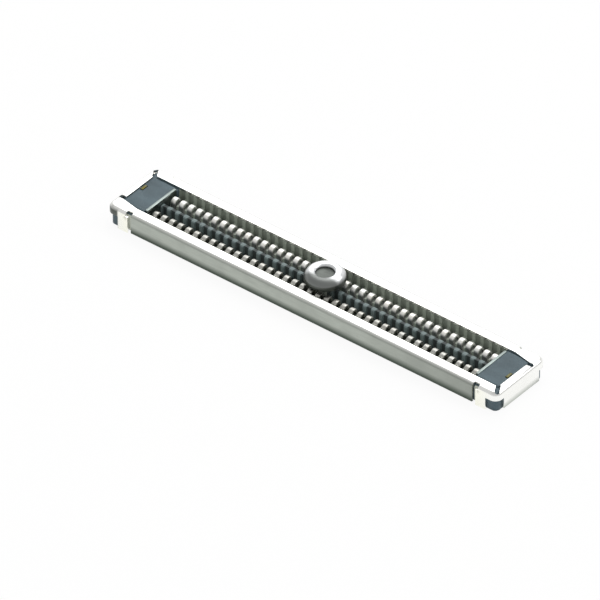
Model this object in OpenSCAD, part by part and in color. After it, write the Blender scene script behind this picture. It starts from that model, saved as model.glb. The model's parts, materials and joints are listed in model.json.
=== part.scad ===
// Shielded two-row board-to-board connector, 0.5 mm pitch, surface mount.
// X runs along the contact rows, -Y is the front side, Z = 0 is the solder plane.

/* [Contacts] */
// Distance from one contact to the next
pitch = 0.5; // [0.45:0.05:0.6]
// Nodes that hold the contacts of one row
nodes_per_row = 20; // [16:2:24]
// Contacts in one such node
contacts_per_node = 2; // [1:1:3]
// Width of a contact along the row
contact_w = 0.24; // [0.2:0.02:0.28]
// Thickness of the contact strip
contact_t = 0.1; // [0.08:0.01:0.1]
// Centre-line radius of the small bends of a contact
contact_bend_r = 0.07; // [0.06:0.005:0.08]
// Straight part of the spring arm below its arch
arm_l = 0.26; // [0.2:0.01:0.28]
// Centre-line radius of the arch at the top of the spring arm
arch_r = 0.2; // [0.16:0.01:0.22]
// How far the arch turns, from the arm to the tip
arch_turn = 150; // [130:5:170]
// Straight tip that runs outward and down from the arch
tip_l = 0.12; // [0.06:0.01:0.16]
// From the cavity wall to the middle of the contact's riser
riser_inset = 0.09; // [0.08:0.01:0.12]
// From the end of a solder tail to the outside of the housing wall
tail_inset = 0.06; // [0.04:0.01:0.2]
// Play between a contact and the sides of its slot
slot_play = 0.03; // [0.02:0.005:0.04]

/* [Housing] */
// Thickness of the floor
floor_t = 0.2; // [0.16:0.01:0.24]
// Height of the cavity walls above the floor
cavity_h = 0.69; // [0.64:0.01:0.8]
// Width of the middle rib
rib_w = 0.3; // [0.24:0.01:0.36]
// Height of the middle rib above the floor
rib_h = 0.56; // [0.48:0.01:0.6]
// Bevel along the top of the rib
rib_bevel = 0.05; // [0.03:0.01:0.08]
// Depth of the notches in the sides of the rib, one beside each contact
rib_notch_d = 0.07; // [0.04:0.01:0.09]
// Open slot between the rib and the contacts, where the mating half goes in
mating_gap = 0.32; // [0.29:0.005:0.35]
// How far the contact shelf stands back from the front of the contacts
shelf_back = 0.12; // [0.08:0.01:0.2]
// Height of the contact shelf above the floor
shelf_h = 0.28; // [0.22:0.01:0.34]
// Width of the mating cavity
cavity_w = 2.56; // [2.5:0.02:2.66]
// Depth of the groove in the cavity wall behind each contact
groove_d = 0.08; // [0.04:0.01:0.12]
// Thickness of the side walls
wall_t = 0.48; // [0.4:0.01:0.6]
// Play under the housing above the solder tails
tail_play = 0.02; // [0.01:0.005:0.04]
// Length of each end block between its fitting and the shell's rim
block_l = 1.35; // [1.2:0.05:1.45]
// Height of an end block's pad above the housing walls
pad_rise = 0.09; // [0.04:0.01:0.12]
// Space between an end block's pad and the shell's opening
pad_play = 0.05; // [0.03:0.01:0.1]
// Edge round of the end block's pad
pad_round_r = 0.12; // [0.06:0.02:0.2]
// Length of the feet under the corners
foot_l = 0.7; // [0.5:0.05:0.8]
// Width of the feet under the corners
foot_w = 0.8; // [0.6:0.05:0.9]
// Clear height under the feet
foot_play = 0.02; // [0.01:0.005:0.03]

/* [End fittings] */
// From the middle of the last contact to the fitting
end_gap = 0.25; // [0.25:0.05:0.35]
// Thickness of the fitting strip
fitting_t = 0.15; // [0.12:0.01:0.16]
// Width of the fitting's inner leg
fitting_w = 2.2; // [1.8:0.1:2.3]
// Width of the strap under the end block
strap_w = 1.3; // [1.0:0.1:1.6]
// Width of the fitting's outer leg
outer_leg_w = 0.4; // [0.3:0.05:0.5]
// How far the outer leg stands off the middle line
outer_leg_offset = 0.26; // [0.1:0.02:0.3]
// Space between the outer leg and the edge of the block
outer_leg_edge = 0.04; // [0.04:0.01:0.12]
// Inside radius of the fitting's two bends
fitting_bend_r = 0.1; // [0.06:0.01:0.14]
// How far the fitting's legs stand above the housing walls
fitting_rise = 0.12; // [0.1:0.01:0.14]
// Play round the fitting in the housing
fitting_play = 0.02; // [0.01:0.005:0.03]

/* [Shell] */
// Thickness of the shell sheet
shell_t = 0.12; // [0.1:0.01:0.15]
// Play between the shell and the housing
shell_play = 0.02; // [0.01:0.005:0.03]
// Outside radius of the shell's bends
shell_bend_r = 0.22; // [0.18:0.01:0.28]
// Width of the shell's rim at each end
end_rim_w = 0.4; // [0.38:0.01:0.5]
// How far the rim stands back from the cavity walls
rim_back = 0.02; // [0.0:0.01:0.05]
// Radius of the shell's corners, seen from above
shell_corner_r = 0.4; // [0.36:0.01:0.44]
// Height of the drawn corners' lower edge above the solder plane
skirt_z = 0.7; // [0.6:0.02:0.8]
// Width of the relief slits at the corners of the opening
slit_w = 0.24; // [0.18:0.02:0.26]
// Length of the slits that run to the drawn corners
slit_l = 0.38; // [0.3:0.02:0.4]
// Turn of these slits from the row's direction
slit_turn = 60; // [50:5:70]
// Length of the slits that run to the end walls
end_slit_l = 0.2; // [0.14:0.02:0.24]
// Length of the slanted web at two corners of the opening
web_l = 1.0; // [0.8:0.05:1.1]
// Width of this web at the end of the opening
web_w = 0.2; // [0.14:0.02:0.24]
// Clear height under the long walls of the shell
wall_lift = 0.08; // [0.04:0.01:0.12]
// How far a long wall runs past the fitting
wall_past = 0.25; // [0.2:0.05:0.35]
// Slot between a long wall and the solder lug beside it
lug_slot = 0.2; // [0.14:0.02:0.24]
// How far the slot widens over the bend, on the lug's side
lug_notch = 0.14; // [0.1:0.02:0.18]
// How far this notch goes on into the rim
rim_notch = 0.06; // [0.02:0.01:0.1]
// From the shell's opening back to the end of the solder lug
lug_back = 0.3; // [0.2:0.05:0.4]
// How far an end wall runs past the cavity's walls
end_wall_past = 0.06; // [0.0:0.02:0.12]

/* [Pick-up button] */
// Outside diameter of the button
button_d = 2.05; // [1.8:0.05:2.2]
// Height of the button
button_h = 0.52; // [0.46:0.02:0.6]
// Radius of the button's upper edge
button_round_r = 0.16; // [0.1:0.02:0.2]
// Diameter of the dish in the button's top
dish_d = 1.05; // [0.9:0.05:1.2]
// Depth of the dish
dish_h = 0.26; // [0.2:0.02:0.28]
// Space between the contacts and the underside of the button
button_gap = 0.25; // [0.21:0.02:0.31]
// Diameter of the stem that carries the button
stem_d = 0.76; // [0.6:0.04:0.8]
// How far the stem goes into the button
stem_grip = 0.16; // [0.12:0.02:0.18]

/* [Hidden] */
$fn = 48;
over = 0.2;

contacts_per_row = nodes_per_row * contacts_per_node;
row_l = (contacts_per_row - 1) * pitch;

base_z = contact_t + tail_play;
floor_z = base_z + floor_t;
wall_z = floor_z + cavity_h;
rib_z = floor_z + rib_h;
shelf_z = floor_z + shelf_h;
pad_z = wall_z + pad_rise;
fitting_z = wall_z + fitting_rise;
shell_h = wall_z + shell_play + shell_t;

arm_y = rib_w / 2 + mating_gap + contact_t / 2;
shelf_y = arm_y - contact_t / 2 + shelf_back;
cavity_y = cavity_w / 2;
riser_y = cavity_y - riser_inset;
body_y = cavity_y + wall_t;
tail_y = body_y - tail_inset;
shell_y = body_y + shell_play + shell_t;
opening_y = cavity_y + rim_back;
contact_z = floor_z + contact_t + contact_bend_r + arm_l + arch_r;

fitting_x = row_l / 2 + end_gap;
block_x = fitting_x + fitting_t;
opening_x = block_x + block_l;
shell_x = opening_x + end_rim_w;
body_x = shell_x - shell_t - shell_play;
body_corner_r = shell_corner_r - shell_t - shell_play;
body_bevel = shell_bend_r - shell_t + shell_play;
outer_leg_x = opening_x - pad_play - outer_leg_edge;

wall_x = block_x + wall_past;
lug_x0 = wall_x + lug_slot;
lug_x1 = opening_x - lug_back;
end_wall_y = cavity_y + end_wall_past;
corner_x = shell_x - shell_corner_r;
corner_y = shell_y - shell_corner_r;

button_z = contact_z + button_gap;

FRONT_NODES = [for (i = [1 : nodes_per_row]) str("contacts_front_", i < 10 ? "0" : "", i)];
REAR_NODES = [for (i = [1 : nodes_per_row]) str("contacts_rear_", i < 10 ? "0" : "", i)];

// Unit vector at an angle, and the side of a turn
function heading(a) = [cos(a), sin(a)];
function turn_steps(turn) = ceil(abs(turn) / 30);

// Stations along a bent strip: each move goes straight, then turns on a radius
function strip_path(p, a, moves, i = 0) =
    i == len(moves) ? [] :
    let (
        run = moves[i][0], turn = moves[i][1], r = moves[i][2],
        q = p + run * heading(a),
        side = sign(turn),
        c = q + r * heading(a + 90 * side),
        n = turn_steps(turn),
        bend = [for (k = [1 : 1 : n]) let (b = a + turn * k / n) [c + r * heading(b - 90 * side), b]],
        last = n > 0 ? bend[n - 1] : [q, a]
    )
    concat([[q, a]], bend, strip_path(last[0], last[1], moves, i + 1));

// Outline of a strip of thickness t along a path
function strip_outline(p, a, moves, t) =
    let (s = concat([[p, a]], strip_path(p, a, moves)), n = len(s))
    concat(
        [for (k = [0 : n - 1]) s[k][0] + t / 2 * heading(s[k][1] + 90)],
        [for (k = [n - 1 : -1 : 0]) s[k][0] + t / 2 * heading(s[k][1] - 90)]
    );

// A section drawn in (Y, Z), carried along X about its middle
module along_x(l)
    rotate([90, 0, 90]) translate([0, 0, -l / 2]) linear_extrude(l) children();

// A section drawn in (X, Z), carried along Y about its middle
module along_y(l)
    rotate([90, 0, 0]) translate([0, 0, -l / 2]) linear_extrude(l) children();

// What it draws, and the same turned half round
module both_ends() {
    children();
    rotate([0, 0, 180]) children();
}

module both_sides() {
    children();
    mirror([0, 1, 0]) children();
}

module four_corners() {
    both_sides() children();
    mirror([1, 0, 0]) both_sides() children();
}

module rounded_rect(x, y, r) {
    square([2 * x - 2 * r, 2 * y], center = true);
    square([2 * x, 2 * y - 2 * r], center = true);
    for (sx = [-1, 1], sy = [-1, 1])
        translate([sx * (x - r), sy * (y - r)]) circle(r);
}

// Free space of the mating cavity: rib in the middle, a shelf for the contacts on each side
module cavity_section() {
    half = [
        [0, rib_z],
        [rib_w / 2 - rib_bevel, rib_z],
        [rib_w / 2, rib_z - rib_bevel],
        [rib_w / 2, floor_z],
        [shelf_y, floor_z],
        [shelf_y, shelf_z],
        [cavity_y, shelf_z],
        [cavity_y, wall_z + over]
    ];
    polygon(concat(half, [for (k = [len(half) - 1 : -1 : 1]) [-half[k][0], half[k][1]]]));
}

// Slot of one contact: through the shelf and into the wall, and down through the floor at the riser
module slot_section() {
    riser_half = contact_t / 2 + slot_play;
    polygon([
        [shelf_y - over, floor_z],
        [riser_y - riser_half, floor_z],
        [riser_y - riser_half, base_z - over],
        [riser_y + riser_half, base_z - over],
        [riser_y + riser_half, floor_z],
        [cavity_y + groove_d, floor_z],
        [cavity_y + groove_d, wall_z + over],
        [shelf_y - over, wall_z + over]
    ]);
}

// Notch in the side of the rib, open at the top
module rib_notch_section()
    translate([rib_w / 2 - rib_notch_d, floor_z]) square([rib_notch_d + over, rib_h + over]);

module contact_slots()
    for (i = [0 : contacts_per_row - 1])
        translate([i * pitch - row_l / 2, 0, 0])
            along_x(contact_w + 2 * slot_play) {
                slot_section();
                rib_notch_section();
            }

// Slanted web across a corner of the shell's opening, moved inward by a play
module corner_web(play)
    polygon([
        [opening_x - web_l, opening_y - play],
        [opening_x, opening_y - web_w - play],
        [opening_x, opening_y + over],
        [opening_x - web_l, opening_y + over]
    ]);

// Raised top of an end block, with rounded upper edges along the block, clear of the shell's web
module end_pad() {
    pad_y = opening_y - pad_play;
    edge_y = pad_y - pad_round_r;
    pad_x = opening_x - pad_play;
    difference() {
        translate([(block_x + pad_x) / 2, 0, 0])
            along_x(pad_x - block_x) {
                translate([-edge_y, wall_z - over]) square([2 * edge_y, pad_rise + over]);
                translate([-pad_y, wall_z - over]) square([2 * pad_y, pad_rise + over - pad_round_r]);
                for (s = [-1, 1])
                    translate([s * edge_y, pad_z - pad_round_r]) circle(pad_round_r);
            }
        translate([0, 0, wall_z]) linear_extrude(pad_rise + over) corner_web(pad_play);
    }
}

// Footprint of the feet that carry the four corners of the body
module feet_outline()
    intersection() {
        rounded_rect(body_x, body_y, body_corner_r);
        four_corners() translate([body_x - foot_l, body_y - foot_w]) square([foot_l, foot_w]);
    }

// Room for a fitting: inner leg, strap under the block, outer leg
module fitting_pocket() {
    leg_w = fitting_w + 2 * fitting_play;
    strap_top = fitting_t + fitting_bend_r + fitting_play;
    translate([fitting_x - fitting_play, -leg_w / 2, -over])
        cube([fitting_t + fitting_play, leg_w, pad_z + 2 * over]);
    translate([fitting_x, -leg_w / 2, -over])
        cube([fitting_t + fitting_bend_r + fitting_play, leg_w, over + strap_top]);
    translate([fitting_x, -strap_w / 2 - fitting_play, -over])
        cube([outer_leg_x - fitting_x, strap_w + 2 * fitting_play, over + strap_top]);
    translate([outer_leg_x - fitting_t - fitting_play,
               -outer_leg_offset - outer_leg_w / 2 - fitting_play, -over])
        cube([fitting_t + 2 * fitting_play, outer_leg_w + 2 * fitting_play, pad_z + 2 * over]);
}

// Upright section of the body with bevelled upper edges, which clear the bends of the shell
module bevelled_section(half)
    polygon([
        [-half, base_z - over],
        [half, base_z - over],
        [half, wall_z - body_bevel],
        [half - body_bevel, wall_z],
        [body_bevel - half, wall_z],
        [-half, wall_z - body_bevel]
    ]);

module body_block() {
    intersection() {
        translate([0, 0, base_z]) linear_extrude(wall_z - base_z)
            rounded_rect(body_x, body_y, body_corner_r);
        along_x(2 * body_x + over) bevelled_section(body_y);
        along_y(2 * body_y + over) bevelled_section(body_x);
    }
    translate([0, 0, foot_play]) linear_extrude(floor_z - foot_play) feet_outline();
}

module housing() {
    color("slategray") {
        difference() {
            union() {
                body_block();
                both_ends() end_pad();
            }
            along_x(2 * fitting_x) cavity_section();
            both_sides() contact_slots();
            both_ends() fitting_pocket();
        }
        translate([0, 0, floor_z - floor_t / 2])
            cylinder(d = stem_d, h = button_z + stem_grip - floor_z + floor_t / 2);
    }
}

// One formed contact: solder tail, riser, base, spring arm and arch
module contact_section() {
    tail_l = tail_y - riser_y - contact_bend_r;
    riser_l = floor_z - 2 * contact_bend_r;
    base_l = riser_y - arm_y - 2 * contact_bend_r;
    polygon(strip_outline([tail_y, contact_t / 2], 180, [
        [tail_l, -90, contact_bend_r],
        [riser_l, 90, contact_bend_r],
        [base_l, -90, contact_bend_r],
        [arm_l, -arch_turn, arch_r],
        [tip_l, 0, 0]
    ], contact_t));
}

module contact_group(index)
    for (k = [0 : contacts_per_node - 1])
        translate([((index * contacts_per_node) + k) * pitch - row_l / 2, 0, 0])
            along_x(contact_w) contact_section();

module contacts_rear(index)
    color("goldenrod") contact_group(index);

module contacts_front(index)
    color("goldenrod") mirror([0, 1, 0]) contact_group(index);

// Fitting of the right end; the left one is the same piece turned half round
module fitting() {
    r = fitting_bend_r + fitting_t / 2;
    mid = (fitting_x + outer_leg_x) / 2;
    color("khaki") {
        along_y(fitting_w)
            polygon(strip_outline([fitting_x + fitting_t / 2, fitting_z], -90, [
                [fitting_z - fitting_t / 2 - r, 90, r]
            ], fitting_t));
        along_y(strap_w)
            polygon([
                [fitting_x + fitting_t / 2 + r, 0],
                [outer_leg_x - fitting_t / 2 - r, 0],
                [outer_leg_x - fitting_t / 2 - r, fitting_t],
                [fitting_x + fitting_t / 2 + r, fitting_t]
            ]);
        translate([0, -outer_leg_offset, 0])
            along_y(outer_leg_w)
                polygon(strip_outline([mid, fitting_t / 2], 0, [
                    [outer_leg_x - fitting_t / 2 - r - mid, 90, r],
                    [fitting_z - fitting_t / 2 - r, 0, 0]
                ], fitting_t));
    }
}

module fitting_right() fitting();

module fitting_left() rotate([0, 0, 180]) fitting();

// Wall, bend and the start of the rim, with the wall's outer face at 0
module folded_section(lift) {
    translate([-shell_t, lift]) square([shell_t, shell_h - shell_bend_r - lift]);
    translate([-shell_bend_r, shell_h - shell_bend_r])
        intersection() {
            difference() {
                circle(shell_bend_r);
                circle(shell_bend_r - shell_t);
            }
            square(shell_bend_r);
        }
    translate([-shell_bend_r - shell_t, shell_h - shell_t]) square([shell_t, shell_t]);
}

// Round-ended slit that starts at the origin
module slit(l) {
    translate([-slit_w / 2, -slit_w / 2]) square([l + slit_w / 2, slit_w]);
    translate([l, 0]) circle(slit_w / 2);
}

// Opening of the shell: the webs leave it narrower at two corners, and four slits relieve it
module opening_outline() {
    difference() {
        square([2 * opening_x, 2 * opening_y], center = true);
        both_ends() corner_web(0);
    }
    both_ends() {
        translate([opening_x, -opening_y]) rotate(-slit_turn) slit(slit_l);
        translate([opening_x, opening_y - web_w - slit_w / 2]) slit(end_slit_l);
    }
}

// Space between a long wall and the lug beside it, with the notch over the bend
module lug_space()
    translate([wall_x, shell_y - shell_bend_r - rim_notch, shell_h - shell_bend_r])
        cube([lug_slot + lug_notch, shell_bend_r + rim_notch + over, shell_bend_r + over]);

// Folded sheet along X on one side, between two places
module fold_x(x0, x1, lift)
    translate([(x0 + x1) / 2, 0, 0])
        along_x(x1 - x0) translate([shell_y, 0]) folded_section(lift);

// Folded sheet along Y at one end, between two places
module fold_y(y0, y1, lift)
    translate([0, (y0 + y1) / 2, 0])
        along_y(y1 - y0) translate([shell_x, 0]) folded_section(lift);

module drawn_corner()
    translate([corner_x, corner_y, 0])
        rotate_extrude(angle = 90) translate([shell_corner_r, 0]) folded_section(skirt_z);

module shell()
    color("gainsboro")
        difference() {
            union() {
                translate([0, 0, shell_h - shell_t]) linear_extrude(shell_t)
                    rounded_rect(shell_x - shell_bend_r, shell_y - shell_bend_r, shell_corner_r - shell_bend_r);
                both_sides() fold_x(-wall_x, wall_x, wall_lift);
                both_ends() fold_y(-end_wall_y, end_wall_y, wall_lift);
                four_corners() {
                    fold_x(lug_x0, lug_x1, 0);
                    fold_x(lug_x1, corner_x, skirt_z);
                    fold_y(end_wall_y, corner_y, skirt_z);
                    drawn_corner();
                }
            }
            translate([0, 0, shell_h - shell_bend_r]) linear_extrude(shell_bend_r + over) opening_outline();
            four_corners() lug_space();
        }

// Turned button with a rounded edge and a dished top, blind bore below for the stem
module pickup_button() {
    r = button_d / 2;
    color("whitesmoke")
        translate([0, 0, button_z])
            difference() {
                rotate_extrude() {
                    square([r, button_h - button_round_r]);
                    square([r - button_round_r, button_h]);
                    translate([r - button_round_r, button_h - button_round_r])
                        intersection() {
                            circle(button_round_r);
                            square(button_round_r);
                        }
                }
                translate([0, 0, button_h - dish_h]) cylinder(d = dish_d, h = dish_h + over);
                translate([0, 0, -over]) cylinder(d = stem_d, h = stem_grip + over);
            }
}

housing();
shell();
fitting_left();
fitting_right();
pickup_button();
for (i = [0 : nodes_per_row - 1]) {
    contacts_front(i);
    contacts_rear(i);
}
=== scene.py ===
"""Looks of a shielded two-row board-to-board connector, laid out as an add-on.

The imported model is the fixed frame: every piece takes its place from it, in metres, and rides on its body."""
import json
import math

import bmesh
import bpy
import numpy as np
from bpy.props import FloatProperty, FloatVectorProperty, IntProperty, PointerProperty
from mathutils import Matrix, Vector

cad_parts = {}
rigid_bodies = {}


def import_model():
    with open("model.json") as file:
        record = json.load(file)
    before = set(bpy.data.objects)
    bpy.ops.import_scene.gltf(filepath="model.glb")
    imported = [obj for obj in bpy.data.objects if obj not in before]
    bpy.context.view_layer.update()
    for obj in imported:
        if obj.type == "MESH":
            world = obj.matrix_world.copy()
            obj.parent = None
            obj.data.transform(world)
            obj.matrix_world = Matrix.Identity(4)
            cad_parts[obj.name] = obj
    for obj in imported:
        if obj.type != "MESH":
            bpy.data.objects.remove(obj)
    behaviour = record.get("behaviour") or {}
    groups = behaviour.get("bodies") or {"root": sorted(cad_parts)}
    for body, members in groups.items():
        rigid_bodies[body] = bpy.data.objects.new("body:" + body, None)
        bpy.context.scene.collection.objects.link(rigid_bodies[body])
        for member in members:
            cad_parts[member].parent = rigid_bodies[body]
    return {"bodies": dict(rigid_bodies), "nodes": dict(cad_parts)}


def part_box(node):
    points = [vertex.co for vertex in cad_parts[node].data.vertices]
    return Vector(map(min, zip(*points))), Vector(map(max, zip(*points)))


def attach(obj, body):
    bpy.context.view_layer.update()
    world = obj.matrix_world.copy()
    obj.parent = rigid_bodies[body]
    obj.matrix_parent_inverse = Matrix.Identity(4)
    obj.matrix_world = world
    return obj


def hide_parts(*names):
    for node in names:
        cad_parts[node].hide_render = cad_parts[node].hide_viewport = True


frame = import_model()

bl_info = {
    "name": "Shielded Connector Looks",
    "version": (1, 0, 0),
    "blender": (4, 5, 0),
    "location": "View3D > Sidebar > Connector",
    "description": "Finishes and fine forms of a shielded two-row board-to-board connector",
    "category": "Object",
}

MM = 0.001
BODY = next(iter(frame["bodies"]))
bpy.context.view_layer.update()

# Neighbouring contacts of a row that share a node of the frame.
CONTACTS_A_NODE = 2

# Rounding a copy of a CAD node: distances in millimetres, angles in degrees.
MERGE, MERGE_AFTER = 2e-4, 1e-4
FLAT_ANGLE, SHARP_ANGLE, CREASE_ANGLE = 0.6, 35.0, 50.0

# Values of a noise texture between which a mark fades in: WIDE is nearly all of them, FEW only the peaks.
WIDE, MANY, CLOUDY = (0.3, 0.7), (0.35, 0.7), (0.4, 0.7)
SOME, THIN, FEW = (0.4, 0.75), (0.45, 0.75), (0.6, 0.78)


def length(name, description, millimetres):
    """A length of the add-on's settings, written in millimetres and kept in metres."""
    return FloatProperty(name=name, description=description, default=millimetres * MM, min=0.0, unit="LENGTH",
                         precision=6)


def span(name, description, start, end):
    """Two places between which a finish fades, written in millimetres and kept in metres."""
    return FloatVectorProperty(name=name, description=description, default=(start * MM, end * MM), size=2,
                               unit="LENGTH", precision=6)


def fraction(name, description, value):
    """A share among the add-on's settings, from none to all."""
    return FloatProperty(name=name, description=description, default=value, min=0.0, max=1.0,
                         subtype="FACTOR")


def finish_colour(name, description, colour):
    """A colour among the add-on's settings."""
    return FloatVectorProperty(name=name, description=description, default=colour, size=3, min=0.0, max=1.0,
                               subtype="COLOR")


class ContactSettings(bpy.types.PropertyGroup):
    pitch: length("Pitch", "From one contact to the next in its row", 0.5)
    width: length("Width", "Width of the formed strip", 0.26)
    thickness: length("Thickness", "Thickness of the formed strip", 0.1)
    edge: length("Edge rounding", "Radius of the strip's stamped edges", 0.022)
    bend: length("Bend radius", "Radius of the bends at tail, riser and arm, on the middle line", 0.07)
    arm: length("Arm", "Straight part of the spring arm", 0.26)
    arch: length("Arch radius", "Radius of the sprung arch, on the middle line", 0.2)
    arch_turn: FloatProperty(
        name="Arch turn", description="How far the arch turns, from the arm to the tip",
        default=math.radians(150.0), subtype="ANGLE")
    tip: length("Tip", "Straight part after the arch", 0.12)
    arm_place: length("Arm place", "From the middle of the connector to the arm's middle line", 0.52)
    riser_place: length("Riser place", "From the middle of the connector to the riser's middle line", 1.19)
    tail_end: length("Tail end", "From the middle of the connector to the end of the tail", 1.70)
    base_height: length("Base height", "Middle line of the base, above the solder plane", 0.37)
    rear_metal: finish_colour("Rear metal", "Bright rear row", (0.97, 0.97, 0.94))
    # Painted shade: the front row is the rear row's metal, darkened where the rim shades it.
    front_metal_painted_shade: finish_colour("Front metal", "Duller front row", (0.50, 0.50, 0.47))
    rear_roughness: fraction("Rear roughness", "Middle roughness of the rear row", 0.55)
    front_roughness: fraction("Front roughness", "Middle roughness of the front row", 0.38)
    # Painted shade: each contact's foot is darkened up to these heights, where the cavity shades it.
    rear_painted_shade_top: length("Rear dull top", "Height where the dull foot of a rear contact ends", 0.86)
    front_painted_shade_top: length("Front dull top", "Height where the dull foot of a front contact ends", 0.76)
    painted_shade_fade: length("Dull fade", "Height over which the dull foot fades out", 0.15)
    painted_shade_share: fraction("Dull shade", "What the dull foot keeps of the metal's colour", 0.35)
    tarnish: finish_colour("Tarnish", "What tarnished patches keep of the metal's colour", (0.9, 0.85, 0.8))
    patch_grain: length("Patch grain", "Size of the tarnished patches", 1.4)
    streak_grain: length("Streak grain", "Width of the rolling streaks", 0.03)
    relief: length("Relief", "Depth of the rolling streaks", 0.0012)


class ButtonSettings(bpy.types.PropertyGroup):
    diameter: length("Diameter", "Outside diameter of the pick-up button", 2.05)
    rounding: length("Rounding", "Radius of the top's outer edge", 0.36)
    dish: length("Dish", "Diameter of the dish in the top", 0.90)
    dish_depth: length("Dish depth", "Depth of the dish", 0.26)
    bore: length("Bore", "Diameter of the blind bore for the stem", 0.76)
    bore_depth: length("Bore depth", "Depth of the bore", 0.16)
    lip: length("Lip", "Radius of the lip of the dish", 0.15)
    edge: length("Edge rounding", "Radius of the lower edges", 0.04)
    point: length("Drill point", "Depth of the cone in the floor of the dish", 0.06)
    around: IntProperty(name="Steps round", description="Faces round the button", default=96)
    # Painted shade and reflection: this colour darkens the dish, the side under the outer edge and the front of
    # the button.
    button_painted_shade: finish_colour("Dark", "Dull plate in the dish, on the side and at the front", (0.125, 0.135, 0.125))
    metal: finish_colour("Metal", "Bright plated button", (0.86, 0.87, 0.88))
    # Where the painted shade in the dish and on the side lies.
    dish_edge: span("Dish edge", "Outwards from the dish, where its dull plate ends", -0.01, 0.08)
    dish_top: span("Dish top", "Upwards from the button's top, where the dish grows bright", -0.14, -0.02)
    side_edge: span("Side edge", "Outwards from the dish, where the side's dull plate starts", 0.1, 0.12)
    side_top: span("Side top", "Upwards from the button's top, where the side grows bright", -0.28, -0.03)
    # Where the painted dark reflection at the front starts, and how strong it is.
    front_edge: span("Front edge", "Forwards from the axis, where the front's dull plate starts", 0.15, 0.55)
    front_painted_shade: fraction("Front dullness", "How dull the front of the plate is", 0.88)
    front_lean: FloatProperty(
        name="Front lean", description="Steps to +X for each step to -Y, on the way to the dullest side",
        default=0.25)
    ring_pitch: length("Turning rings", "From one turning ring to the next", 0.045)
    patch_grain: length("Patch grain", "Size of the clouds in the plate", 0.5)
    relief: length("Relief", "Depth of the turning rings", 0.0008)


class ShellSettings(bpy.types.PropertyGroup):
    edge: length("Edge rounding", "Radius of the sheet's stamped edges", 0.012)
    metal: finish_colour("Metal", "Bright plated rim, ends and lugs", (0.97, 0.97, 0.94))
    # Painted reflection: the satin's dark colour stands for the shaded floor that the long walls reflect. Their
    # higher roughness is real.
    satin: finish_colour("Satin metal", "Satin finish of the two long walls", (0.42, 0.45, 0.405))
    # Painted shade: the foot colour darkens the lower edge of the long walls.
    foot: finish_colour("Foot", "Duller lower edge of the long walls", (0.07, 0.088, 0.07))
    cream: finish_colour("Cream", "Warm tone of the lugs", (0.97, 0.96, 0.74))
    # Painted reflection: the corner colour darkens the left front corner, for the dark surroundings it
    # reflects. The other corners stay bright.
    corner: finish_colour("Corner", "Dull grey of the left front corner", (0.10, 0.11, 0.10))
    wall_end: span("Wall end", "Along the connector, where the satin of a long wall ends", 10.47, 10.53)
    wall_bend: span("Wall bend", "Across the connector, from the flat rim to a long wall", 1.73, 1.87)
    wall_foot_painted_shade: span("Wall foot", "Heights over which the lower edge of a long wall grows duller", 0.18, 0.52)
    # Painted shade: the front wall darkens towards the right.
    painted_shade_right: span("Worn", "Along the front wall, to the right, over which it grows duller", 3.0, 10.5)
    painted_shade_right_side: span("Worn side", "Across the connector, where the wear of the front side ends", -0.01, 0.01)
    end_bend: span("End bend", "Along the connector, from the flat rim to an end wall", 11.6, 11.7)
    # Painted shade: the lower edge of the end walls takes the darker satin colour.
    end_foot_painted_shade: span("End foot", "Heights over which the lower edge of an end wall grows satin", 0.14, 0.42)
    # The rim at the ends is only darker in colour. Its roughness is the same.
    end_rim: span("End rim", "Along the connector, where the rim at an end grows duller", 11.4, 11.6)
    end_rim_top: span("End rim's height", "Heights from the end walls to the rim", 1.02, 1.12)
    lug_face: span("Lug face", "Across the connector, where a lug's upright face starts", 1.87, 1.89)
    lug_place: span("Lug place", "Along the connector, over which the lugs' warm tone fades", 10.5, 11.6)
    # Where the painted dark reflection at the left front corner fades.
    dark_reflection_x: span("Corner X", "X over which the dull corner fades", -11.26, -11.16)
    dark_reflection_y: span("Corner Y", "Y over which the dull corner fades", -1.4, -1.0)
    dark_reflection_z: span("Corner Z", "Heights over which the dull corner fades", 0.98, 1.12)
    patch_grain: length("Patch grain", "Size of the clouds in the bright plate", 1.4)
    cloud_grain: length("Cloud grain", "Size of the clouds in the satin plate", 0.8)
    streak_grain: length("Streak grain", "Width of the rolling streaks", 0.05)
    relief: length("Relief", "Depth of the rolling streaks", 0.0015)


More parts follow.
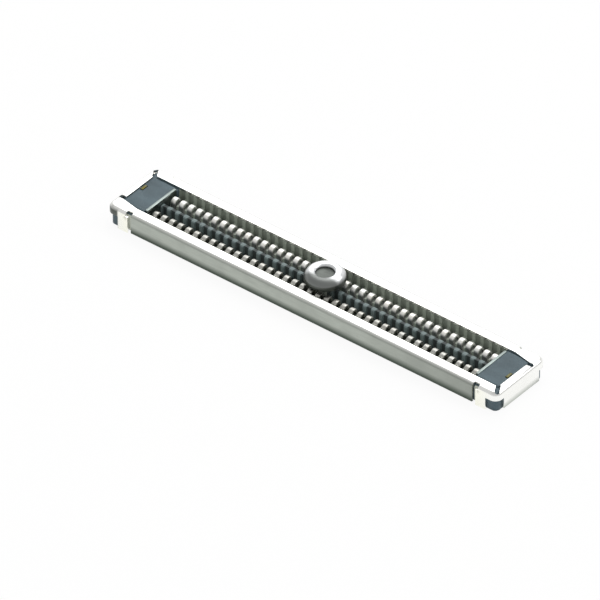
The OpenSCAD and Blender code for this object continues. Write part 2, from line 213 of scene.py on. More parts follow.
class HousingSettings(bpy.types.PropertyGroup):
    edge: length("Edge rounding", "Radius of the moulded edges", 0.012)
    plastic: finish_colour("Plastic", "Moulded slate plastic", (0.075, 0.112, 0.13))
    # Painted light: the cavity and shelf colours are paler than the plastic, to light up the walls and comb
    # inside the cavity, where shade falls.
    cavity: finish_colour("Cavity", "Paler walls and comb of the cavity", (0.31, 0.35, 0.29))
    shelf: finish_colour("Shelf", "Comb between the contacts", (0.56, 0.61, 0.53))
    rib: finish_colour("Rib", "Middle rib", (0.11, 0.14, 0.14))
    # Painted light: the flash colour lightens the shaded slots beside the lugs.
    flash: finish_colour("Flash", "Pale moulding flash behind the slots beside the lugs", (0.62, 0.65, 0.56))
    pitch: length("Pitch", "From one slot of the comb to the next", 0.5)
    fade: length("Fade", "Width over which one colour gives way to the next", 0.02)
    cavity_end: length("Cavity end", "From the middle of the connector to the end of the comb", 10.0)
    cavity_side: length("Cavity side", "From the middle line to the backs of the slots", 1.74)
    shelf_side: length("Shelf side", "From the middle line to the end of the shelf", 1.12)
    rib_side: length("Rib side", "From the middle line to just beyond the rib's side", 0.24)
    floor_top: length("Floor", "Top of the housing's floor", 0.3)
    # Where the painted light behind the slots beside the lugs starts and ends.
    painted_light_start: length("Flash start", "From the middle of the connector to where the flash starts", 10.45)
    painted_light_end: length("Flash end", "From the middle of the connector to where the flash ends", 10.95)
    outer_side: length("Outer side", "From the middle line to just inside the housing's outer sides", 1.7)
    gloss: fraction("Gloss", "Specular level of the plastic", 0.3)
    flow_grain: length("Flow grain", "Size of the flow marks", 0.9)
    fibre_grain: length("Fibre grain", "Width of the glass fibres' flecks", 0.02)
    matt_grain: length("Matt grain", "Size of the matt surface's grains", 0.03)
    relief: length("Relief", "Depth of the matt grain", 0.004)


class FittingSettings(bpy.types.PropertyGroup):
    edge: length("Edge rounding", "Radius of the strip's stamped edges", 0.02)
    metal: finish_colour("Metal", "Nickel of the inner legs", (0.28, 0.325, 0.31))
    gold: finish_colour("Gold", "Thin flash on the outer legs", (0.10, 0.088, 0.022))
    flash: span("Flash", "From the middle of the connector, where the flash starts", 11.0, 11.1)
    patch_grain: length("Patch grain", "Size of the patches in nickel and flash", 0.3)
    streak_grain: length("Streak grain", "Width of the rolling streaks", 0.05)
    relief: length("Relief", "Depth of the rolling streaks", 0.0012)


class CameraSettings(bpy.types.PropertyGroup):
    azimuth: FloatProperty(
        name="Azimuth", description="How far the camera stands round from the front, to the right",
        default=math.radians(38.666), subtype="ANGLE")
    elevation: FloatProperty(
        name="Elevation", description="How far the camera stands above the solder plane",
        default=math.radians(37.936), subtype="ANGLE")
    distance: FloatProperty(
        name="Distance", description="From the camera to the point that it aims at",
        default=0.7867, unit="LENGTH")
    scale: FloatProperty(
        name="Scale", description="Picture elements to a metre at the point aimed at, in a frame of 600",
        default=21000.0)
    frame_px: IntProperty(
        name="Frame", description="Width and height of the photograph's frame, in picture elements",
        default=600)
    aim_px: FloatVectorProperty(
        name="Aim point", description="Where the point aimed at lands, from the frame's upper left corner",
        size=2, default=(325.1, 289.1))
    aim_height: length("Aim height", "Height of the point aimed at, above the solder plane", 0.6)


class StageSettings(bpy.types.PropertyGroup):
    floor_colour: finish_colour("Floor", "Plain pale floor and backdrop", (0.92, 0.92, 0.915))
    floor_whitening: fraction(
        "Floor whitening", "Share of plain white that the camera and gloss see in the floor", 0.92)
    sky: FloatProperty(name="Sky", description="Strength of the even light all round", default=0.64, min=0.0)
    key: FloatProperty(name="Lamps", description="Strength of the soft lamps", default=1.0, min=0.0)
    lamp_distance: FloatProperty(
        name="Lamp distance", description="From the connector to each lamp", default=0.6, unit="LENGTH")


def join(tree, node, **inputs):
    """Sets a shader node's sockets by name, or by number as in _0: a value is written into the socket, and an
    output is linked to it."""
    for name, value in inputs.items():
        socket = node.inputs[int(name[1:])] if name[1:].isdigit() else node.inputs[name.replace("_", " ")]
        if isinstance(value, bpy.types.NodeSocket):
            tree.links.new(value, socket)
        else:
            socket.default_value = value
    return node


def new_material(name, kind="ShaderNodeBsdfPrincipled"):
    """A node material with nothing but its output and one shader of the kind given."""
    material = bpy.data.materials.new(name)
    material.use_nodes = True
    tree = material.node_tree
    tree.nodes.clear()
    out = tree.nodes.new("ShaderNodeOutputMaterial")
    shader = tree.nodes.new(kind)
    tree.links.new(shader.outputs[0], out.inputs["Surface"])
    return material, tree, shader


def place_of(tree, scale=(1.0, 1.0, 1.0)):
    """Object coordinates, stretched along the axes by scale."""
    mapping = tree.nodes.new("ShaderNodeMapping")
    tree.links.new(tree.nodes.new("ShaderNodeTexCoord").outputs["Object"], mapping.inputs["Vector"])
    mapping.inputs["Scale"].default_value = scale
    return mapping.outputs["Vector"]


def axes_of(tree, place):
    """The X, the Y and the Z of a place, each as an output of its own."""
    return tuple(join(tree, tree.nodes.new("ShaderNodeSeparateXYZ"), _0=place).outputs)


def noise_of(tree, place, grain, detail=3.0, roughness=0.55):
    """Noise whose grain is a length in metres."""
    return join(tree, tree.nodes.new("ShaderNodeTexNoise"), Vector=place, Scale=1.0 / grain, Detail=detail,
                Roughness=roughness).outputs["Fac"]


def range_of(tree, value, between, new_low, new_high):
    """The value taken from the range between two numbers to another range, and kept inside it."""
    node = join(tree, tree.nodes.new("ShaderNodeMapRange"), Value=value)
    for socket, number in zip(("From Min", "From Max", "To Min", "To Max"), (*between, new_low, new_high)):
        node.inputs[socket].default_value = number
    return node.outputs["Result"]


def rising(tree, value, between, share=1.0):
    """Nothing below the range between two numbers, and the share above it."""
    return range_of(tree, value, between, 0.0, share)


def falling(tree, value, between):
    """One below the range between two numbers, and nothing above it."""
    return range_of(tree, value, between, 1.0, 0.0)


def blend_of(tree, share, first, second):
    """Two colours blended by a share."""
    node = tree.nodes.new("ShaderNodeMix")
    node.data_type = "RGBA"
    for socket, value in zip((node.inputs[0], node.inputs[6], node.inputs[7]), (share, first, second)):
        if isinstance(value, bpy.types.NodeSocket):
            tree.links.new(value, socket)
        else:
            socket.default_value = value if isinstance(value, float) else (*value, 1.0)
    return node.outputs[2]


def bump_of(tree, height, depth):
    """A bump of the given depth in metres."""
    node = tree.nodes.new("ShaderNodeBump")
    return join(tree, node, Height=height, Distance=depth, Strength=1.0).outputs["Normal"]


def math_of(tree, operation, first, second=0.0):
    """One calculation on one or two values."""
    node = tree.nodes.new("ShaderNodeMath")
    node.operation = operation
    return join(tree, node, _0=first, _1=second).outputs[0]


def product_of(tree, first, *others):
    """All the values multiplied."""
    for other in others:
        first = math_of(tree, "MULTIPLY", first, other)
    return first


def size_of(tree, value):
    """The value without its sign."""
    return math_of(tree, "ABSOLUTE", value)


def shade(colour, factor):
    """The colour times a factor, and no brighter than 1."""
    return tuple(min(1.0, c * factor) for c in colour)


def add_piece(name, points, faces, material, smooth_angle=40.0):
    """A mesh object at the frame's origin, from points in metres and faces that point outwards."""
    mesh = bpy.data.meshes.new(name)
    points = np.asarray(points, float).reshape(-1, 3).tolist()
    mesh.from_pydata(points, [], [list(map(int, face)) for face in faces])
    mesh.validate()
    mesh.materials.append(material)
    mesh.shade_smooth()
    mesh.set_sharp_from_angle(angle=math.radians(smooth_angle))
    piece = bpy.data.objects.new(name, mesh)
    bpy.context.scene.collection.objects.link(piece)
    return piece


def settle(piece, slot, *nodes):
    """Puts a piece on the body, in place of the nodes that it stands for."""
    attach(piece, BODY)
    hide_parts(*nodes)


def grid_faces(rings, around, close_ends=True):
    """Faces of a tube of rings with the same number of points: ring i joins ring i + 1, the last point of a
    ring joins its first, and each end is one flat face."""
    i, j = np.meshgrid(np.arange(rings - 1), np.arange(around), indexing="ij")
    k = (j + 1) % around
    faces = np.stack([i * around + j, i * around + k, (i + 1) * around + k, (i + 1) * around + j], axis=-1)
    faces = faces.reshape(-1, 4).tolist()
    if close_ends:
        faces.append(list(range(around))[::-1])
        faces.append(list(range((rings - 1) * around, rings * around)))
    return faces


def rounded_section(width, height, radius, steps=3):
    """Outline of a rectangle, anticlockwise, with a quarter circle of steps points at each corner."""
    turn = np.linspace(0.0, math.pi / 2, steps)
    centres = np.array([(1, 1), (-1, 1), (-1, -1), (1, -1)]) * (width / 2 - radius, height / 2 - radius)
    angles = (np.arange(4) * math.pi / 2)[:, None] + turn
    return (centres[:, None, :] + radius * np.stack([np.cos(angles), np.sin(angles)], axis=-1)).reshape(-1, 2)


def bent_path(start, heading, parts, step=math.radians(15.0)):
    """Points and headings of a path in a plane, made of straight lengths and arcs: each part is (length,) or
    (radius, turn). A straight moves the point by its length along the heading, and an arc turns the heading
    evenly while the point keeps its radius from the arc's centre."""
    points, headings = [np.array([start])], [np.array([heading])]
    for part in parts:
        here, way = points[-1][-1], headings[-1][-1]
        if len(part) == 1:
            points.append(here[None] + part[0] * np.array([[math.cos(way), math.sin(way)]]))
            headings.append(np.array([way]))
            continue
        radius, turn = part
        count = max(2, int(math.ceil(abs(turn) / step)))
        angles = way + turn * np.arange(1, count + 1) / count
        side = math.copysign(1.0, turn)
        centre = here + radius * side * np.array([-math.sin(way), math.cos(way)])
        points.append(centre - radius * side * np.stack([-np.sin(angles), np.cos(angles)], axis=1))
        headings.append(angles)
    return np.concatenate(points), np.concatenate(headings)


def strip_along(points, headings, section):
    """A strip whose section is carried along a path in the YZ plane: the section's first axis is X, and its
    second stands square to the path."""
    across = np.stack([-np.sin(headings), np.cos(headings)], axis=1)
    rings = np.zeros((len(points), len(section), 3))
    rings[:, :, 0] = section[None, :, 0]
    rings[:, :, 1:] = points[:, None, :] + section[None, :, 1, None] * across[:, None, :]
    return rings


def rounded_profile(corners, steps=5):
    """A path through corners given as (across, up, radius). Each corner is replaced by the arc of that radius
    that touches both of its sides, steps points long, and a corner of no radius stays a point."""
    points = []
    for i, (across, up, radius) in enumerate(corners):
        here = np.array((across, up))
        if radius == 0.0:
            points.append(here[None])
            continue
        before = np.array(corners[i - 1][:2]) - here
        after = np.array(corners[(i + 1) % len(corners)][:2]) - here
        before, after = before / np.linalg.norm(before), after / np.linalg.norm(after)
        half = math.acos(float(np.clip(before @ after, -1.0, 1.0))) / 2
        middle = (before + after) / np.linalg.norm(before + after)
        centre = here + middle * radius / math.sin(half)
        first, last = here + before * radius / math.tan(half), here + after * radius / math.tan(half)
        share = np.linspace(0.0, 1.0, steps)[:, None]
        spokes = (first - centre) * (1 - share) + (last - centre) * share
        points.append(centre + radius * spokes / np.linalg.norm(spokes, axis=1, keepdims=True))
    return np.concatenate(points)


def turned_piece(name, profile, around, material):
    """A turned piece about the Z axis. The profile of (radius, height) points starts and ends on the axis and
    is swept round it, so that point (r, z) goes to (r cos a, r sin a, z), and each pole is one point."""
    angles = np.linspace(0.0, 2 * math.pi, around, endpoint=False)
    inner = profile[1:-1]
    rings = np.stack([inner[:, 0, None] * np.cos(angles), inner[:, 0, None] * np.sin(angles),
                      np.repeat(inner[:, 1, None], around, axis=1)], axis=-1)
    faces = grid_faces(len(inner), around, close_ends=False)
    poles = np.array([(0.0, 0.0, profile[0, 1]), (0.0, 0.0, profile[-1, 1])])
    first, last = rings.shape[0] * around, rings.shape[0] * around + 1
    j = np.arange(around)
    k = (j + 1) % around
    base = (rings.shape[0] - 1) * around
    faces += np.stack([np.full(around, first), k, j], axis=1).tolist()
    faces += np.stack([np.full(around, last), base + j, base + k], axis=1).tolist()
    return add_piece(name, np.concatenate([rings.reshape(-1, 3), poles]), faces, material, CREASE_ANGLE)


def rounded_copy(node, name, material, radius, slot):
    """A CAD node's shape with its sharp edges rounded. The copy is worked in millimetres: its loose triangles
    are merged, flat faces joined again, and every sharp edge gets two bevel steps of the given radius."""
    mesh = frame["nodes"][node].data.copy()
    mesh.name = name
    work = bmesh.new()
    work.from_mesh(mesh)
    bmesh.ops.scale(work, vec=(1 / MM, 1 / MM, 1 / MM), verts=work.verts)
    bmesh.ops.remove_doubles(work, verts=work.verts, dist=MERGE)
    bmesh.ops.dissolve_degenerate(work, edges=work.edges, dist=MERGE)
    bmesh.ops.dissolve_limit(work, angle_limit=math.radians(FLAT_ANGLE), verts=work.verts, edges=work.edges)
    least = math.radians(SHARP_ANGLE)
    sharp = [e for e in work.edges if len(e.link_faces) == 2 and e.calc_face_angle(0.0) > least]
    bmesh.ops.bevel(work, geom=sharp, offset=radius / MM, offset_type="OFFSET", segments=2, profile=0.5,
                    affect="EDGES", clamp_overlap=True, miter_outer="ARC", loop_slide=False)
    bmesh.ops.remove_doubles(work, verts=work.verts, dist=MERGE_AFTER)
    bmesh.ops.triangulate(work, faces=[f for f in work.faces if len(f.verts) > 4])
    bmesh.ops.scale(work, vec=(MM, MM, MM), verts=work.verts)
    work.to_mesh(mesh)
    work.free()
    mesh.materials.clear()
    mesh.materials.append(material)
    mesh.shade_smooth()
    mesh.set_sharp_from_angle(angle=math.radians(CREASE_ANGLE))
    piece = bpy.data.objects.new(name, mesh)
    bpy.context.scene.collection.objects.link(piece)
    flat = piece.modifiers.new("flat faces stay flat", "WEIGHTED_NORMAL")
    flat.keep_sharp = True
    settle(piece, slot, node)


class CONNECTOR_OT_housing(bpy.types.Operator):
    """Moulds the housing with rounded edges in slate plastic"""
    bl_idname = "connector.housing"
    bl_label = "Housing"

    def execute(self, context):
        s = context.scene.connector_housing
        rounded_copy("housing", "moulded_housing", self.plastic(s), s.edge, "housing")
        return {"FINISHED"}

    def plastic(self, s):
        """Glass-filled plastic: pale flecks of fibre in a slate ground, flow marks and a matt grain."""
        material, tree, shader = new_material("slate moulded plastic")
        place = place_of(tree)
        flow = noise_of(tree, place_of(tree, scale=(0.5, 1.0, 1.0)), s.flow_grain, detail=5.0, roughness=0.6)
        fibres = noise_of(tree, place_of(tree, scale=(0.35, 1.0, 1.0)), s.fibre_grain, detail=2.0)
        ground = blend_of(tree, rising(tree, flow, WIDE), shade(s.plastic, 0.82), shade(s.plastic, 1.2))
        ground = self.paint_light_and_shade(s, tree, place, ground)
        flecked = blend_of(tree, rising(tree, fibres, FEW, share=0.35), ground, shade(s.plastic, 2.2))
        join(tree, shader, Base_Color=flecked, Specular_IOR_Level=s.gloss,
             Roughness=range_of(tree, fibres, WIDE, 0.42, 0.6),
             Normal=bump_of(tree, noise_of(tree, place, s.matt_grain, detail=3.0), s.relief))
        return material

    def paint_light_and_shade(self, s, tree, place, ground):
        """The ground, but for two places of painted light and shade. In the cavity the walls and comb are
        painted paler, the comb is painted lighter than its slots, which follow the pitch along X, and the rib
        has painted light teeth and painted dark slots of its own. Behind the slots beside the lugs a pale patch
        is painted light."""
        x, y, z = axes_of(tree, place)
        along, across = size_of(tree, x), size_of(tree, y)
        # Where the cavity's painted light goes.
        cavity = product_of(
            tree, rising(tree, z, (s.floor_top, s.floor_top + s.fade)),
            falling(tree, along, (s.cavity_end - s.fade, s.cavity_end)),
            falling(tree, across, (s.cavity_side - s.fade, s.cavity_side)))
        # Painted light and shade along the comb: lighter teeth and darker slots, at the pitch.
        turns = product_of(tree, math_of(tree, "SUBTRACT", x, s.pitch / 2), 2 * math.pi / s.pitch)
        slot = rising(tree, math_of(tree, "COSINE", turns), (-0.5, 0.5))
        rib = falling(tree, across, (s.rib_side - s.fade, s.rib_side))
        shelf = falling(tree, across, (s.shelf_side - s.fade, s.shelf_side))
        walls = blend_of(tree, shelf, tuple(s.cavity), tuple(s.shelf))
        lit_tooth_colour = blend_of(tree, rib, walls, shade(s.rib, 1.6))
        shaded_slot_walls = blend_of(tree, 0.4, walls, shade(s.cavity, 0.4))
        shaded_slot_colour = blend_of(tree, rib, shaded_slot_walls, shade(s.rib, 0.35))
        ground = blend_of(tree, cavity, ground, blend_of(tree, slot, lit_tooth_colour, shaded_slot_colour))
        # Painted light behind the slots beside the lugs.
        painted_light_beside_lug = product_of(
            tree, rising(tree, along, (s.painted_light_start - s.fade, s.painted_light_start)),
            falling(tree, along, (s.painted_light_end, s.painted_light_end + s.fade)),
            rising(tree, across, (s.outer_side - s.fade, s.outer_side)))
        return blend_of(tree, painted_light_beside_lug, ground, tuple(s.flash))


class CONNECTOR_OT_shell(bpy.types.Operator):
    """Folds the shell with rounded stamped edges, bright plated with two satin long walls"""
    bl_idname = "connector.shell"
    bl_label = "Shell"

    def execute(self, context):
        s = context.scene.connector_shell
        rounded_copy("shell", "folded_shell", self.sheet(s), s.edge, "shell")
        return {"FINISHED"}

    def sheet(self, s):
        """Bright plated sheet with two satin long walls, darker in colour as a painted reflection of the shaded
        floor and with painted shade towards their lower edge. Where each finish lies follows from the distance
        along and across the connector and from the height."""
        material, tree, shader = new_material("plated shell sheet")
        place = place_of(tree)
        axes = axes_of(tree, place)
        along, across = size_of(tree, axes[0]), size_of(tree, axes[1])
        streaks = noise_of(tree, place_of(tree, scale=(0.06, 1.0, 1.0)), s.streak_grain, detail=2.0)
        on_wall = product_of(tree, falling(tree, along, s.wall_end), rising(tree, across, s.wall_bend))
        # Painted shade along the lower edge of the long walls.
        low = product_of(tree, on_wall, falling(tree, axes[2], s.wall_foot_painted_shade))
        bright = self.bright_plate_with_painted_shade(s, tree, place, axes, (along, across))
        satin = self.satin_plate_with_painted_shade(s, tree, streaks, axes)
        colour = blend_of(tree, low, blend_of(tree, on_wall, bright, satin), tuple(s.foot))
        rough = range_of(tree, streaks, WIDE, 0.18, 0.28)
        join(tree, shader, Metallic=1.0, Base_Color=colour,
             Roughness=math_of(tree, "ADD", rough, product_of(tree, on_wall, 0.12)),
             Normal=bump_of(tree, streaks, s.relief))
        return material

    def bright_plate_with_painted_shade(self, s, tree, place, axes, distances):
        """Bright plate in soft clouds, with painted shade in the satin colour at the foot of the end walls,
        darker on the rim at the ends, warm on the lugs and with a painted dark reflection at the left front
        corner."""
        x, y, z = axes
        along, across = distances
        patches = noise_of(tree, place, s.patch_grain, detail=4.0)
        bright = blend_of(tree, rising(tree, patches, SOME, share=0.5), tuple(s.metal), shade(s.metal, 0.9))
        end_foot_painted_shade = product_of(tree, rising(tree, along, s.end_bend, share=0.8), falling(tree, z, s.end_foot_painted_shade))
        end_rim = product_of(tree, rising(tree, along, s.end_rim, share=0.5), rising(tree, z, s.end_rim_top))
        lug = product_of(tree, rising(tree, across, s.lug_face, share=0.5), falling(tree, along, s.lug_place))
        # Painted dark reflection at the left front corner.
        corner = product_of(tree, falling(tree, x, s.dark_reflection_x), falling(tree, y, s.dark_reflection_y),
                            falling(tree, z, s.dark_reflection_z))
        for where, colour in ((end_foot_painted_shade, s.satin), (end_rim, shade(s.metal, 0.6)), (lug, s.cream),
                              (corner, s.corner)):
            bright = blend_of(tree, where, bright, tuple(colour))
        return bright

    def satin_plate_with_painted_shade(self, s, tree, streaks, axes):
        """Satin plate with rolling streaks and soft clouds, darker in colour as a painted reflection, and with
        painted shade that deepens towards the right on the front wall.
        """
        satin = blend_of(tree, rising(tree, streaks, WIDE), shade(s.satin, 0.9), shade(s.satin, 1.1))
        clouds = noise_of(tree, place_of(tree, scale=(0.7, 1.0, 1.0)), s.cloud_grain, detail=3.0)
        satin = blend_of(tree, rising(tree, clouds, CLOUDY, share=0.5), satin, shade(s.satin, 0.75))
        # Painted shade, deepening to the right on the front wall.
        painted_shade_right = product_of(tree, rising(tree, axes[0], s.painted_shade_right, share=0.6), falling(tree, axes[1], s.painted_shade_right_side))
        return blend_of(tree, painted_shade_right, satin, shade(s.satin, 0.6))


class CONNECTOR_OT_contacts(bpy.types.Operator):
    """Forms the eighty contacts as bent strips with rounded edges, in place of the plain solids"""
    bl_idname = "connector.contacts"
    bl_label = "Contacts"

    def execute(self, context):
        s = context.scene.connector_contacts
        strip = self.strip(s)
        faces = grid_faces(*strip.shape[:2])
        strip_points = strip.shape[0] * strip.shape[1]
        for row, side, colour, roughness, painted_shade_top in (
                ("rear", 1.0, s.rear_metal, s.rear_roughness, s.rear_painted_shade_top),
                ("front", -1.0, s.front_metal_painted_shade, s.front_roughness, s.front_painted_shade_top)):
            metal = self.plated_metal(s, row + " row's metal", tuple(colour), roughness, painted_shade_top)
            turned = strip * (1.0, side, 1.0)
            row_faces = faces if side < 0 else [face[::-1] for face in faces]
            node_faces = [[v + k * strip_points for v in face]
                          for k in range(CONTACTS_A_NODE) for face in row_faces]
            nodes = sorted(name for name in frame["nodes"] if name.startswith("contacts_%s_" % row))
            for i, node in enumerate(nodes):
                first = (CONTACTS_A_NODE * i - (CONTACTS_A_NODE * len(nodes) - 1) / 2) * s.pitch
                places = first + s.pitch * np.arange(CONTACTS_A_NODE)
                points = turned[None] + places[:, None, None, None] * np.array([1.0, 0.0, 0.0])
                piece = add_piece("contact_strips_%s_%02d" % (row, i + 1), points, node_faces, metal)
                settle(piece, "contacts", node)
        return {"FINISHED"}

    def strip(self, s):
        """One rear contact at X 0: from the end of its tail inwards, up the riser, in along the base, up the
        arm and outwards over the arch to the tip."""
        quarter = math.pi / 2
        path = [
            (s.tail_end - s.riser_place - s.bend,), (s.bend, -quarter),
            (s.base_height - s.thickness / 2 - 2 * s.bend,), (s.bend, quarter),
            (s.riser_place - s.arm_place - 2 * s.bend,), (s.bend, -quarter),
            (s.arm,), (s.arch, -s.arch_turn), (s.tip,)]
        points, headings = bent_path((s.tail_end, s.thickness / 2), math.pi, path)
        return strip_along(points, headings, rounded_section(s.width, s.thickness, s.edge))

    def plated_metal(self, s, name, colour, roughness, painted_shade_top):
        """Plated strip: streaks of rolling along it, soft tarnish in patches, and a darker foot of painted
        shade that ends at the height given."""
        material, tree, shader = new_material(name)
        place = place_of(tree)
        height = axes_of(tree, place)[2]
        patches = noise_of(tree, place, s.patch_grain, detail=4.0)
        streaks = noise_of(tree, place_of(tree, scale=(1.0, 0.15, 0.15)), s.streak_grain, detail=2.0)
        tarnished = tuple(c * t for c, t in zip(colour, s.tarnish))
        plate = blend_of(tree, rising(tree, patches, MANY, share=0.55), colour, tarnished)
        # Painted shade on the lower part of the contact.
        foot = falling(tree, height, (painted_shade_top - s.painted_shade_fade, painted_shade_top))
        join(tree, shader, Metallic=1.0, Base_Color=blend_of(tree, foot, plate, shade(colour, s.painted_shade_share)),
             Roughness=range_of(tree, streaks, WIDE, roughness - 0.05, roughness + 0.07),
             Normal=bump_of(tree, streaks, s.relief))
        return material


class CONNECTOR_OT_fittings(bpy.types.Operator):
    """Bends the two end fittings with rounded edges, in nickel with a thin gold flash on the outer legs"""
    bl_idname = "connector.fittings"
    bl_label = "End fittings"

    def execute(self, context):
        s = context.scene.connector_fittings
        metal = self.flashed(s)
        for name in ("left", "right"):
            rounded_copy("fitting_" + name, "bent_fitting_" + name, metal, s.edge, "fittings")
        return {"FINISHED"}

    def flashed(self, s):
        """Dull nickel with rolling streaks, and a gold flash that thins out in patches on the outer legs."""
        material, tree, shader = new_material("flashed nickel")
        place = place_of(tree)
        outer = rising(tree, size_of(tree, axes_of(tree, place)[0]), s.flash)
        patches = noise_of(tree, place, s.patch_grain, detail=4.0)
        streaks = noise_of(tree, place_of(tree, scale=(1.0, 0.1, 1.0)), s.streak_grain, detail=2.0)
        nickel = blend_of(tree, rising(tree, patches, MANY, share=0.6), tuple(s.metal), shade(s.metal, 0.75))
        gold = blend_of(tree, rising(tree, patches, THIN, share=0.5), tuple(s.gold), shade(s.metal, 0.7))
        join(tree, shader, Metallic=1.0, Base_Color=blend_of(tree, outer, nickel, gold),
             Roughness=range_of(tree, streaks, WIDE, 0.28, 0.4), Normal=bump_of(tree, streaks, s.relief))
        return material


class CONNECTOR_OT_button(bpy.types.Operator):
    """Turns the pick-up button with its rounded edge, its dish and the bore for the stem"""
    bl_idname = "connector.button"
    bl_label = "Pick-up button"

    def execute(self, context):
        s = context.scene.connector_button
        low, high = (corner[2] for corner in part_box("pickup_button"))
        dish_low = high - s.dish_depth
        profile = rounded_profile([
            (0.0, low + s.bore_depth, 0.0),
            (s.bore / 2, low + s.bore_depth, 0.0),
            (s.bore / 2, low, s.edge / 2),
            (s.diameter / 2, low, s.edge),
            (s.diameter / 2, high, s.rounding),
            (s.dish / 2, high, s.lip),
            (s.dish / 2, dish_low + s.point, s.edge / 2),
            (0.0, dish_low, 0.0)])
        metal = self.turned_plate(s, high)
        settle(turned_piece("turned_button", profile, s.around, metal), "button", "pickup_button")
        return {"FINISHED"}

    def turned_plate(self, s, high):
        """Bright plate with turning rings, with painted shade in the dish and below the outer edge, and a
        painted dark reflection towards the front."""
        material, tree, shader = new_material("bright turned plate")
        place = place_of(tree)
        x, y, z = axes_of(tree, place)
        radius = math_of(tree, "SQRT", math_of(tree, "ADD", product_of(tree, x, x), product_of(tree, y, y)))
        from_dish = math_of(tree, "SUBTRACT", radius, s.dish / 2)
        from_top = math_of(tree, "SUBTRACT", z, high)
        dish_painted_shade = product_of(tree, falling(tree, from_dish, s.dish_edge), falling(tree, from_top, s.dish_top))
        side_painted_shade = product_of(tree, rising(tree, from_dish, s.side_edge), falling(tree, from_top, s.side_top))
        forward = math_of(tree, "SUBTRACT", product_of(tree, x, s.front_lean), y)
        front = rising(tree, forward, s.front_edge, share=s.front_painted_shade)
        # Painted shade and reflection, wherever one of the three masks is strongest.
        dull = math_of(tree, "MAXIMUM", dish_painted_shade, math_of(tree, "MAXIMUM", side_painted_shade, front))
        patches = noise_of(tree, place, s.patch_grain, detail=4.0)
        plate = blend_of(tree, rising(tree, patches, MANY, share=0.5), tuple(s.metal), shade(s.metal, 0.85))
        rings = math_of(tree, "SINE", product_of(tree, radius, 2 * math.pi / s.ring_pitch))
        rough = range_of(tree, patches, WIDE, 0.17, 0.27)
        join(tree, shader, Metallic=1.0, Base_Color=blend_of(tree, dull, plate, tuple(s.button_painted_shade)),
             Roughness=math_of(tree, "ADD", rough, product_of(tree, dull, 0.2)),
             Normal=bump_of(tree, rings, s.relief))
        return material


def direction(azimuth, elevation):
    """The way to something that stands so far round from the front, to the right, and so far up."""
    return Vector((math.sin(azimuth) * math.cos(elevation), -math.cos(azimuth) * math.cos(elevation),
                   math.sin(elevation)))


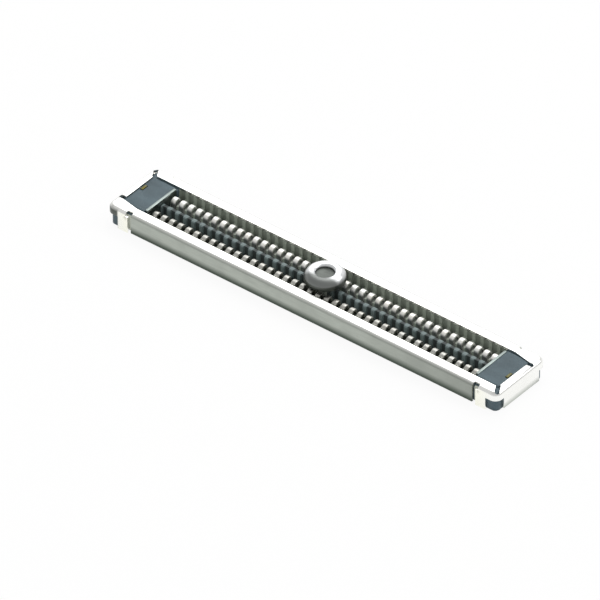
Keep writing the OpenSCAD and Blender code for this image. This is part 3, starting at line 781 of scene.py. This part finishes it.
class CONNECTOR_OT_stage(bpy.types.Operator):
    """Sets up the pale floor and backdrop, the soft lamps and the camera"""
    bl_idname = "connector.stage"
    bl_label = "Stage"

    def execute(self, context):
        s = context.scene.connector_stage
        self.sweep(self.floor_material(s), context.scene.connector_camera.azimuth)
        self.lamps(context.scene, s)
        self.camera(context.scene)
        context.scene.view_settings.view_transform = "Standard"
        return {"FINISHED"}

    def floor_material(self, s):
        """Pale matt paint, which the camera, gloss and glass see mostly as plain white."""
        material, tree, mix = new_material("pale floor", "ShaderNodeMixShader")
        paint = join(tree, tree.nodes.new("ShaderNodeBsdfDiffuse"), Color=(*s.floor_colour, 1.0))
        white = join(tree, tree.nodes.new("ShaderNodeEmission"), Color=(1.0, 1.0, 1.0, 1.0), Strength=1.0)
        path = tree.nodes.new("ShaderNodeLightPath")
        seen = path.outputs["Is Camera Ray"]
        for kind in ("Is Glossy Ray", "Is Transmission Ray"):
            seen = math_of(tree, "MAXIMUM", seen, path.outputs[kind])
        whitening = product_of(tree, seen, s.floor_whitening)
        join(tree, mix, _0=whitening, _1=paint.outputs[0], _2=white.outputs[0])
        return material

    def sweep(self, material, azimuth):
        """Floor and backdrop in one: a flat sheet that curves up behind in a quarter circle and goes on
        upwards, the same section all along the direction that lies across the view. Lengths are in metres."""
        reach, back, radius, height, half_width, steps = 0.9, 0.45, 0.15, 0.5, 1.6, 17
        turn = np.linspace(0.0, math.pi / 2, steps)
        away = np.concatenate([[-reach], back + radius * np.sin(turn), [back + radius]])
        up = np.concatenate([[0.0], radius * (1 - np.cos(turn)), [height]])
        across = np.array([-half_width, half_width])
        away_dir = np.array([-math.sin(azimuth), math.cos(azimuth)])
        across_dir = np.array([math.cos(azimuth), math.sin(azimuth)])
        points = np.zeros((len(away), 2, 3))
        points[:, :, :2] = away[:, None, None] * away_dir + across[None, :, None] * across_dir
        points[:, :, 2] = up[:, None]
        i = np.arange(len(away) - 1)
        faces = np.stack([2 * i, 2 * i + 1, 2 * i + 3, 2 * i + 2], axis=1)
        floor = add_piece("floor_and_backdrop", points, faces.tolist(), material)

    def lamps(self, scene, s):
        """An even sky and three large soft lamps. Each lamp has its azimuth and elevation in degrees, the
        side of its square in metres and its radiance."""
        world = bpy.data.worlds.new("studio air")
        scene.world = world
        world.use_nodes = True
        join(world.node_tree, world.node_tree.nodes["Background"], Color=(1.0, 1.0, 1.0, 1.0), Strength=s.sky)
        for name, azimuth, elevation, size, radiance in (
                ("right rear lamp", 138.0, 44.0, 0.34, 2.2),
                ("left rear lamp", 220.0, 37.0, 0.46, 1.2),
                ("high rear lamp", 195.0, 62.0, 0.34, 2.0)):
            data = bpy.data.lights.new(name, "AREA")
            data.size = size
            data.energy = radiance * s.key * math.pi * size * size
            lamp = bpy.data.objects.new(name, data)
            scene.collection.objects.link(lamp)
            lamp.location = s.lamp_distance * direction(math.radians(azimuth), math.radians(elevation))
            lamp.rotation_euler = (-lamp.location).to_track_quat("-Z", "Y").to_euler()

    def camera(self, scene):
        """The camera's place is the aim point plus its distance along the view's back direction, its lens
        gives the scale at the aim point, and its shift puts that point where the photograph has it."""
        s = scene.connector_camera
        back = direction(s.azimuth, s.elevation)
        data = bpy.data.cameras.new("camera")
        data.sensor_width = 36.0
        data.sensor_fit = "HORIZONTAL"
        data.lens = s.distance * s.scale / s.frame_px * data.sensor_width
        data.shift_x = (s.frame_px / 2 - s.aim_px[0]) / s.frame_px
        data.shift_y = (s.aim_px[1] - s.frame_px / 2) / s.frame_px
        data.clip_start, data.clip_end = 0.01, 10.0
        camera = bpy.data.objects.new("camera", data)
        scene.collection.objects.link(camera)
        camera.location = Vector((0.0, 0.0, s.aim_height)) + s.distance * back
        camera.rotation_euler = back.to_track_quat("Z", "Y").to_euler()
        scene.camera = camera


OPERATORS = (CONNECTOR_OT_stage, CONNECTOR_OT_housing, CONNECTOR_OT_shell, CONNECTOR_OT_contacts,
             CONNECTOR_OT_fittings, CONNECTOR_OT_button)
SETTINGS = {
    "connector_stage": StageSettings,
    "connector_camera": CameraSettings,
    "connector_housing": HousingSettings,
    "connector_shell": ShellSettings,
    "connector_contacts": ContactSettings,
    "connector_fittings": FittingSettings,
    "connector_button": ButtonSettings,
}


class CONNECTOR_PT_looks(bpy.types.Panel):
    """Lists the groups of pieces and the stage"""
    bl_idname = "CONNECTOR_PT_looks"
    bl_label = "Connector"
    bl_space_type = "VIEW_3D"
    bl_region_type = "UI"
    bl_category = "Connector"

    def draw(self, context):
        for group in OPERATORS:
            self.layout.operator(group.bl_idname)


def register():
    for group in (*SETTINGS.values(), *OPERATORS, CONNECTOR_PT_looks):
        bpy.utils.register_class(group)
    for name, group in SETTINGS.items():
        setattr(bpy.types.Scene, name, PointerProperty(type=group))


def unregister():
    for name in SETTINGS:
        delattr(bpy.types.Scene, name)
    for group in (CONNECTOR_PT_looks, *reversed(OPERATORS), *reversed(SETTINGS.values())):
        bpy.utils.unregister_class(group)


def main():
    """Makes the stage and each group of pieces."""
    register()
    for step in ("stage", "housing", "shell", "contacts", "fittings", "button"):
        getattr(bpy.ops.connector, step)()


if __name__ == "__main__":
    main()
